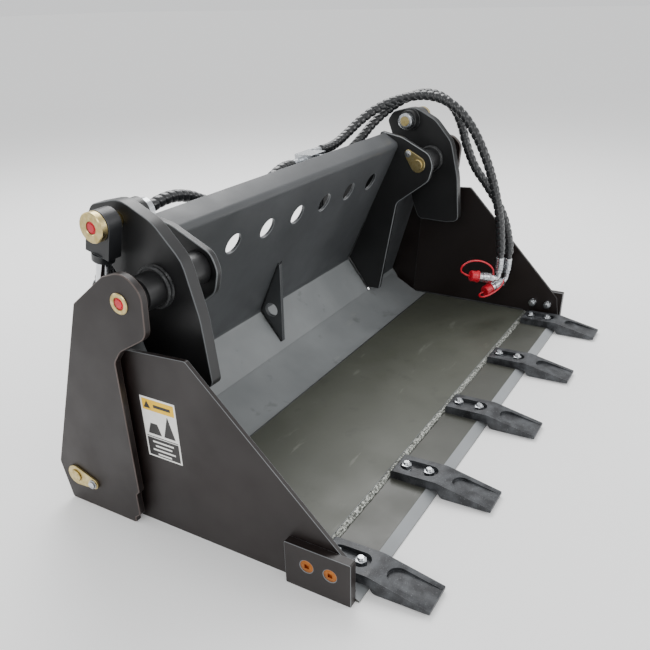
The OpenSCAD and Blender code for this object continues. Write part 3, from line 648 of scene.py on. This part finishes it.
def dust_cap(letter, elbow, lean):
    """Moulded cap with a rolled mouth, ribs round its grip and a tether loop seat."""
    bm = bmesh.new()
    place = upright(elbow, lean)
    profile = [(0, 76.2), (14.9, 76.2), (18.8, 76.4), (20.2, 77.4), (20.3, 79.6), (19.2, 80.9), (17.9, 81.4)]
    for ring in range(3):
        start = 84 + ring * 5.4
        profile += [(17.8, start), (16.9, start + 0.9), (16.9, start + 2.4), (17.8, start + 3.3)]
    profile += [(17.8, 101), (17.0, 104), (14.6, 105.6), (9, 105.8), (8, 105.2), (0, 105.0)]
    turned(bm, profile, place, steps=48)
    return piece(f"dust_cap_{letter}_moulding", bm, "red", "rear_frame", [f"dust_cap_{letter}"])


class BUCKET_OT_manifold(bpy.types.Operator):
    """Makes the hose block behind the flange with its ports and bracket"""
    bl_idname = "bucket.manifold"
    bl_label = "Hose block"

    def execute(self, context):
        dress("hose_manifold", "silver", "rear_frame", 1.6, 3, "block")
        return {"FINISHED"}


# ---------------------------------------------------------------- rear frame

class BUCKET_OT_board(bpy.types.Operator):
    """Makes the folded back board with its gusset and its welds"""
    bl_idname = "bucket.board"
    bl_label = "Back board"

    def execute(self, context):
        for node in ("mouldboard", "cylinder_shields"):
            plate = dress(node, ["board", "edge_highlight_grey", "lip"], "rear_frame", 1.3)
            # Up-facing faces low on the board and on the shields take the lip grey: a painted reflection of
            # the bright surroundings on the lower slope.
            for face in plate.data.polygons:
                if face.center.z < 0.185 and face.normal.z > 0.3:
                    face.material_index = 2
        dress("centre_gusset", ["board", "edge_highlight_grey"], "rear_frame", 1.2)
        dress("back_ribs", ["frame", "edge_highlight_grey"], "rear_frame", 1.2)
        dress("rear_cutting_edge", ["frame", "edge_highlight_grey"], "rear_frame", 1.2)
        bm = bmesh.new()
        ear = EAR_X / MM
        for s in BOTH:
            x = s * (ear - 1.5)
            weld(bm, [at(x, 52, 588), at(x, 228, 190), at(x, 150, 86)], 0.0036, seed=s)
            for side in BOTH:
                gx = side * 8.2 * s
                weld(bm, [at(gx, 158, 347), at(gx, 230, 186), at(gx, 160, 97)], 0.0030, seed=gx)
        piece("board_welds", bm, "painted_weld", "rear_frame")
        return {"FINISHED"}


class BUCKET_OT_side_frames(bpy.types.Operator):
    """Makes the inner ears and outer plates that carry the clam's pivots"""
    bl_idname = "bucket.side_frames"
    bl_label = "Side frames"

    def execute(self, context):
        for side in ("left", "right"):
            dress(f"inner_ear_{side}", ["frame", "edge_highlight_grey"], "rear_frame", 2.2, 3)
            dress(f"outer_plate_{side}", ["side", "edge_highlight_brown"], "rear_frame", 2.0, 3)
        dress("base_brackets", ["frame", "edge_highlight_grey"], "rear_frame", 1.2)
        return {"FINISHED"}


class BUCKET_OT_quick_attach(bpy.types.Operator):
    """Makes the plate and ledge that the loader's quick attach holds"""
    bl_idname = "bucket.quick_attach"
    bl_label = "Quick attach"

    def execute(self, context):
        dress("attach_plate", ["frame", "edge_highlight_grey"], "rear_frame", 1.6)
        dress("attach_ledge", ["frame", "edge_highlight_grey"], "rear_frame", 1.2)
        bm = bmesh.new()
        for x in (-395, 395, -540, 540):
            for side in BOTH:
                weld(bm, [at(x + side * 7.5, 241.5, 530), at(x + side * 7.5, 241.5, 190)], 0.0032, seed=x)
        piece("rib_welds", bm, "painted_weld", "rear_frame")
        return {"FINISHED"}


def ring_head(bm, place, outer, inner, thick):
    """The turned end of a pin: a chamfered face round a counterbore."""
    turned(bm, [(0, -4.6), (inner, -4.6), (inner, thick - 1.2), (inner + 1.0, thick), (outer - 1.6, thick),
                (outer, thick - 1.4), (outer, 0.1), (outer - 2, 0), (outer - 2, -2), (0, -5.5)],
           place, steps=56)


def plug(bm, place, radius, thick):
    """A turned push-in plug with a domed button."""
    turned(bm, [(0, -4.4), (radius - 0.4, -4.4), (radius - 0.4, thick - 2.6), (radius - 1.6, thick - 1.8),
                (radius - 2.2, thick - 2.4), (radius - 3.4, thick - 2.4), (radius - 4.2, thick - 0.6),
                (0, thick - 0.1)], place)


def across(x, y, z, side):
    """A place on one side of the bucket that looks outwards along X."""
    return upright(at(side * x, y, z), (side, 0, 0))


class BUCKET_OT_pivot_pins(bpy.types.Operator):
    """Makes the pivot pins and base pins with their plugs, locking flags and bolts"""
    bl_idname = "bucket.pivot_pins"
    bl_label = "Pivot pins"

    def execute(self, context):
        pins, plugs = bmesh.new(), bmesh.new()
        for side in BOTH:
            head = across(791, *PIVOT_YZ, side)
            ring_head(pins, head, 20.8, 12.0, 2.9)
            plug(plugs, head, 11.9, 2.6)
            turned(pins, [(0, 4), (18.95, 4), (18.95, 239), (0, 240)], across(550.5, *PIVOT_YZ, side))
            turned(pins, [(0, 0.5), (14.95, 0.5), (14.95, 113), (0, 113.4)], across(677.4, *BASE_YZ, side))
        piece("pivot_pin_steel", pins, "gold", "rear_frame", ["pivot_pins", "base_pins"])
        piece("pivot_plug_moulding", plugs, "red", "rear_frame", ["pivot_plugs"])
        dress("flag_plates", "gold", "rear_frame", 1.4, 3)
        bolts = bmesh.new()
        for side in BOTH:
            for x, place_yz, way in ((544, EAR_FLAG_YZ, -side), (797, BASE_FLAG_YZ, side)):
                place = upright(at(side * x, *place_yz), (way, 0, 0))
                turned(bolts, [(0, 0.1), (10.4, 0.1), (10.8, 0.6), (10.8, 1.8), (10.2, 2.2), (0, 2.2)], place)
                prism(bolts, 6, 16.6, 2.1, 6.9, place, 0.9)
        piece("flag_bolt_steel", bolts, "silver", "rear_frame", ["flag_bolts"])
        return {"FINISHED"}


# ---------------------------------------------------------------- clam

class BUCKET_OT_floor(bpy.types.Operator):
    """Makes the clam's floor, rear lip and cutting edge, and the rough weld that joins them"""
    bl_idname = "bucket.floor"
    bl_label = "Floor"

    def execute(self, context):
        dress("floor_plate", ["floor", "edge_highlight_grey"], "clam", 0.8)
        # The rear lip takes the lip grey, its lightness a painted reflection.
        dress("rear_lip", ["lip", "edge_highlight_grey"], "clam", 1.2)
        edge = dress("front_cutting_edge", ["edge", "edge_highlight_grey", "bevel"], "clam", 0.9)
        # Faces that look forward and up get the light grey third finish, a painted highlight.
        for face in edge.data.polygons:
            if face.normal.y < -0.3 and face.normal.z > 0.2:
                face.material_index = 2
        bm = bmesh.new()
        half = SPAN - 0.004
        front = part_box("floor_plate")[0][1]
        count = 900
        for track, (back, high, size) in enumerate(((0.0014, 0.0044, 0.0036), (0.0048, 0.0034, 0.0046),
                                                    (0.0086, 0.0014, 0.0040))):
            line = [Vector((-half + 2 * half * i / count,
                            front - back + 0.0016 * noise.noise(Vector((i * 0.11, 3.1 * track, 0))),
                            EDGE_TOP + high + 0.0006 * noise.noise(Vector((i * 0.2, 7.7 * track, 1)))))
                    for i in range(count + 1)]
            swept(bm, line, bead_radius(size, 9.0 + track), sides=9)
        piece("floor_weld_bead", bm, "weld", "clam", ["floor_weld"])
        seams = bmesh.new()
        side = SPAN / MM - 1.0
        weld(seams, [at(-side, 0, 24.8), at(side, 0, 24.8)], 0.0019, seed=2)
        for s in BOTH:
            weld(seams, [at(s * (side - 0.8), -372, 26.4), at(s * (side - 0.8), 44, 26.4)], 0.0034, seed=5 + s)
            weld(seams, [at(s * (side - 0.8), -382, 18), at(s * (side - 0.8), -484, 18)], 0.0030, seed=7 + s)
        piece("clam_welds", seams, "painted_weld", "clam")
        return {"FINISHED"}


class BUCKET_OT_clam_sides(bpy.types.Operator):
    """Makes the clam's side plates, its bolted side cutters and the plain labels"""
    bl_idname = "bucket.clam_sides"
    bl_label = "Clam sides"

    def execute(self, context):
        for side in ("left", "right"):
            dress(f"side_plate_{side}", ["side", "edge_highlight_grey"], "clam", 1.2)
        dress("side_cutters", ["side", "edge_highlight_grey"], "clam", 1.6)
        for side, name in zip(BOTH, ("left", "right")):
            label(side, f"label_{name}_film", ["labels"])
        return {"FINISHED"}


def film(bm, side, y0, z0, y1, z1, index, lift, cut=0.0):
    """One printed field of a label, on the outer face of a side plate. Sizes are in mm."""
    part = bmesh.new()
    bmesh.ops.create_cube(part, size=1)
    bmesh.ops.scale(part, verts=part.verts, vec=(0.12 * MM, abs(y1 - y0) * MM, (z1 - z0) * MM))
    part.transform(Matrix.Translation(at(side * (762.06 + lift), (y0 + y1) / 2, (z0 + z1) / 2)))
    if cut:
        top = [v for v in part.verts if v.co.z > (z0 + z1) / 2 * MM]
        bmesh.ops.scale(part, verts=top, vec=(1, cut, 1),
                        space=Matrix.Translation(-at(0, (y0 + y1) / 2, 0)))
    for face in part.faces:
        face.material_index = index
    join(bm, part)


def label(side, name, stands_for):
    """A printed film with a yellow head, a plain triangle and generic bars: no words."""
    bm = bmesh.new()
    y0, y1, z0, z1 = -97.5, -6.5, 182.5, 326.5
    film(bm, side, y0, z0, y1, z1, 0, 0.0)
    film(bm, side, y0 + 4, 296, y1 - 4, 322, 1, 0.10)
    film(bm, side, -32, 301, -14, 317, 2, 0.20, cut=0.05)
    film(bm, side, -84, 305, -40, 312, 2, 0.20)
    film(bm, side, y0 + 4, 232, y1 - 4, 234, 2, 0.10)
    film(bm, side, y0 + 4, 186, y1 - 4, 230, 2, 0.10)
    for row, (a, b) in enumerate(((-80, -24), (-74, -30), (-82, -22), (-70, -34))):
        film(bm, side, a, 219 - row * 10, b, 223 - row * 10, 0, 0.20)
    film(bm, side, -88, 240, -58, 290, 2, 0.10, cut=0.05)
    film(bm, side, -52, 240, -16, 266, 2, 0.10, cut=0.5)
    return piece(name, bm, ["film_white", "film_yellow", "film_dark"], "clam", stands_for)


class BUCKET_OT_arms(bpy.types.Operator):
    """Makes the lift arms with their pivot tubes, rings and stiffening webs"""
    bl_idname = "bucket.arms"
    bl_label = "Lift arms"

    def execute(self, context):
        for side in ("left", "right"):
            dress(f"lift_arm_{side}", ["frame", "arm_edge_highlight"], "clam", 3.2, 3)
        dress("arm_webs", ["frame", "edge_highlight_grey"], "clam", 1.4)
        bosses = bmesh.new()
        for side in BOTH:
            turned_tube(bosses, side, *PIVOT_YZ,
                        [(567.6, 34.6), (568.4, 35), (642, 35), (643, 40), (657, 40)], 19.1)
            turned_tube(bosses, side, *PIVOT_YZ,
                        [(687, 40), (701, 40), (702, 35), (746, 35), (747.6, 31), (749.6, 31), (751, 32),
                         (772.6, 32), (773.4, 31.4)], 19.1)
            turned_tube(bosses, side, *LEVER_YZ, [(627, 28.4), (628.4, 30), (657, 30)], 15.1)
        piece("arm_boss_steel", bosses, "frame", "clam", ["arm_bosses"])
        beads = bmesh.new()
        for side in BOTH:
            for k, x in enumerate((645, 655, 689, 699)):
                ring_weld(beads, at(side * x, *PIVOT_YZ), 0.0392, 0.0040, seed=k * 3.3 + side)
            ring_weld(beads, at(side * 654.5, *LEVER_YZ), 0.0312, 0.0032, seed=11 + side)
            for y in (-60, -18):
                for edge in (-1.6, 15.6):
                    weld(beads, [at(side * 749.6, y + edge, z) for z in (337, 375)], 0.0030, seed=y)
        piece("arm_weld_beads", beads, "painted_weld", "clam")
        return {"FINISHED"}


def turned_tube(bm, side, y, z, steps_out, bore):
    """A turned tube along X. steps_out gives (x, outer radius) in mm."""
    first, last = steps_out[0][0], steps_out[-1][0]
    profile = [(bore, first), *[(r, x) for x, r in steps_out], (bore, last), (bore, first)]
    part = bmesh.new()
    verts = [part.verts.new((r * MM, 0, (h - first) * MM)) for r, h in profile[:-1]]
    edges = [part.edges.new(pair) for pair in zip(verts, verts[1:] + verts[:1])]
    bmesh.ops.spin(part, geom=verts + edges, cent=(0, 0, 0), axis=(0, 0, 1), angle=2 * pi, steps=56,
                   use_merge=True)
    bmesh.ops.remove_doubles(part, verts=part.verts, dist=1e-6)
    bmesh.ops.recalc_face_normals(part, faces=part.faces)
    part.transform(across(first, y, z, side))
    join(bm, part)


class BUCKET_OT_top_pins(bpy.types.Operator):
    """Makes the pins at the rods' ends, with their plugs and bright bushes"""
    bl_idname = "bucket.top_pins"
    bl_label = "Top pins"

    def execute(self, context):
        pins, plugs, bushes = bmesh.new(), bmesh.new(), bmesh.new()
        for side in BOTH:
            turned(pins, [(0, 0.1), (27.4, 0.1), (28.7, 1.4), (28.7, 14.2), (27.0, 15.9), (13.4, 15.9),
                          (12.0, 14.7), (12.0, 8.2), (0, 8.2)], across(740, *LEVER_YZ, side), steps=56)
            turned(pins, [(0, 0.4), (14.4, 0.4), (14.95, 1.2), (14.95, 137), (0, 137.6)],
                   across(604, *LEVER_YZ, side))
            plug(plugs, across(752.4, *LEVER_YZ, side), 11.9, 3.4)
            turned_tube(bushes, side, *LEVER_YZ,
                        [(607.4, 22.6), (608.4, 23.8), (625.6, 23.8), (626.6, 22.8)], 15.1)
        piece("top_pin_steel", pins, "gold", "clam", ["top_pins"])
        piece("top_plug_moulding", plugs, "red", "clam", ["top_plugs"])
        piece("top_bush_steel", bushes, "silver", "clam", ["top_bushes"])
        return {"FINISHED"}


def tooth_middles():
    return [sum(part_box(f"tooth_{i}")[k][0] for k in (0, 1)) / 2 / MM for i in range(1, 6)]


class BUCKET_OT_teeth(bpy.types.Operator):
    """Makes the five cast teeth with their bolt pockets and scooped noses"""
    bl_idname = "bucket.teeth"
    bl_label = "Teeth"

    def execute(self, context):
        for i in range(1, 6):
            dress(f"tooth_{i}", ["cast", "cast_edge_highlight"], "clam", 3.0, 3, "casting")
        return {"FINISHED"}


def hex_nut(bm, place, bolt_end):
    """A flanged nut with its chamfered crown and the bolt's threaded end. Sizes are in mm."""
    turned(bm, [(8.05, 0), (12.4, 0), (12.4, 1.0), (11.2, 2.0), (8.05, 2.0), (0, 2.0), (0, 1.9)], place)
    prism(bm, 6, 23.6, 0.6, 12.9, place, 1.3)
    profile = [(0, 12.0)]
    z = 12.2
    while z < bolt_end - 1.4:
        profile += [(7.8, z), (7.1, z + 0.8)]
        z += 1.6
    profile += [(7.2, bolt_end - 1.0), (6.2, bolt_end - 0.1), (0, bolt_end)]
    turned(bm, profile, place, steps=24)


class BUCKET_OT_bolts(bpy.types.Operator):
    """Makes the plow bolts and nuts of the teeth and side cutters"""
    bl_idname = "bucket.bolts"
    bl_label = "Plow bolts"

    def execute(self, context):
        nuts, heads = bmesh.new(), bmesh.new()
        for x in tooth_middles():
            for y in (LIP_Y / MM - SEAM_Y / MM + 34, LIP_Y / MM - SEAM_Y / MM + 92):
                hex_nut(nuts, upright(at(x, y, 27), (0, 0, 1)), 19.4)
                turned(heads, [(0, 1.2), (7.9, 1.2), (7.9, 26.6), (0, 26.6)], upright(at(x, y, 0), (0, 0, 1)))
        for side in BOTH:
            for y in CUTTER_ROWS:
                hex_nut(nuts, upright(at(side * 752, y, CUTTER_BOLT_Z), (-side, 0, 0)), 18.9)
                plow_head(heads, across(773, y, CUTTER_BOLT_Z, side))
        piece("plow_nut_steel", nuts, "silver", "clam", ["plow_nuts"])
        piece("plow_bolt_steel", heads, ["gold", "copper"], "clam", ["plow_bolts"])
        return {"FINISHED"}


def plow_head(bm, place):
    """A countersunk head with a square key pocket."""
    part = bmesh.new()
    steps = 32
    outer = bmesh.ops.create_circle(part, segments=steps, radius=13.8 * MM)["verts"]
    inner = bmesh.ops.create_circle(part, segments=steps, radius=5.0 * MM)["verts"]
    for vert in inner:
        reach = max(abs(vert.co.x), abs(vert.co.y))
        vert.co *= 5.0 * MM / reach
    for vert in part.verts:
        vert.co.z = 8.3 * MM
    rim = [e for e in part.edges if e.verts[0] in outer and e.verts[1] in outer]
    hole = [e for e in part.edges if e.verts[0] in inner and e.verts[1] in inner]
    bmesh.ops.bridge_loops(part, edges=rim + hole)
    for loop, radius, height in ((rim, 14.4, 7.9), (hole, 4.8, 4.4)):
        made = bmesh.ops.extrude_edge_only(part, edges=loop)["geom"]
        verts = [g for g in made if isinstance(g, bmesh.types.BMVert)]
        flat = max(Vector((v.co.x, v.co.y)).length for v in verts)
        for vert in verts:
            if radius > 10:
                vert.co.xy = vert.co.xy * (radius * MM / flat)
            vert.co.z = height * MM
        ring = [g for g in made if isinstance(g, bmesh.types.BMEdge) and
                g.verts[0] in verts and g.verts[1] in verts]
        if radius > 10:
            made = bmesh.ops.extrude_edge_only(part, edges=ring)["geom"]
            verts = [g for g in made if isinstance(g, bmesh.types.BMVert)]
            for vert in verts:
                vert.co.xy = vert.co.xy * (8.0 / radius)
                vert.co.z = 0.4 * MM
            ring = [g for g in made if isinstance(g, bmesh.types.BMEdge) and
                    g.verts[0] in verts and g.verts[1] in verts]
        bmesh.ops.contextual_create(part, geom=ring)
    for face in part.faces:
        face.material_index = 1
    bmesh.ops.recalc_face_normals(part, faces=part.faces)
    part.transform(place)
    join(bm, part)


# ---------------------------------------------------------------- cylinders

class BUCKET_OT_cylinders(bpy.types.Operator):
    """Makes both hydraulic cylinders: barrels, glands, chromed rods and forged eyes"""
    bl_idname = "bucket.cylinders"
    bl_label = "Cylinders"

    def execute(self, context):
        for side in ("left", "right"):
            dress(f"barrel_{side}", ["frame", "edge_highlight_grey"], f"barrel_{side}", 1.6)
            dress(f"gland_{side}", ["frame", "edge_highlight_grey"], f"barrel_{side}", 1.0)
            dress(f"rod_{side}", "chrome", f"rod_{side}", 0.6)
            dress(f"rod_eye_{side}", ["forged", "arm_edge_highlight"], f"rod_{side}", 5.0, 4, "forging")
        return {"FINISHED"}


# ---------------------------------------------------------------- panel and start

OPERATORS = (
    BUCKET_OT_stage, BUCKET_OT_hoses, BUCKET_OT_manifold, BUCKET_OT_board, BUCKET_OT_side_frames,
    BUCKET_OT_quick_attach, BUCKET_OT_pivot_pins, BUCKET_OT_floor, BUCKET_OT_clam_sides, BUCKET_OT_arms,
    BUCKET_OT_top_pins, BUCKET_OT_teeth, BUCKET_OT_bolts, BUCKET_OT_cylinders)


class BUCKET_PT_panel(bpy.types.Panel):
    """Lists the bucket's pieces, with their sizes and colours"""
    bl_idname = "BUCKET_PT_panel"
    bl_label = "Combination bucket"
    bl_space_type = "VIEW_3D"
    bl_region_type = "UI"
    bl_category = "Bucket"

    def draw(self, context):
        for settings in (context.scene.bucket_sizes, context.scene.bucket_colours):
            for name in settings.__annotations__:
                self.layout.prop(settings, name)
        for operator in OPERATORS:
            self.layout.operator(operator.bl_idname)


CLASSES = (BucketSizes, BucketColours, *OPERATORS, BUCKET_PT_panel)


def register():
    for cls in CLASSES:
        bpy.utils.register_class(cls)
    bpy.types.Scene.bucket_sizes = bpy.props.PointerProperty(type=BucketSizes)
    bpy.types.Scene.bucket_colours = bpy.props.PointerProperty(type=BucketColours)


def unregister():
    del bpy.types.Scene.bucket_colours
    del bpy.types.Scene.bucket_sizes
    for cls in reversed(CLASSES):
        bpy.utils.unregister_class(cls)


def main():
    register()
    make_finishes()
    for operator in OPERATORS:
        getattr(bpy.ops.bucket, operator.bl_idname.split(".")[1])()


if __name__ == "__main__":
    main()
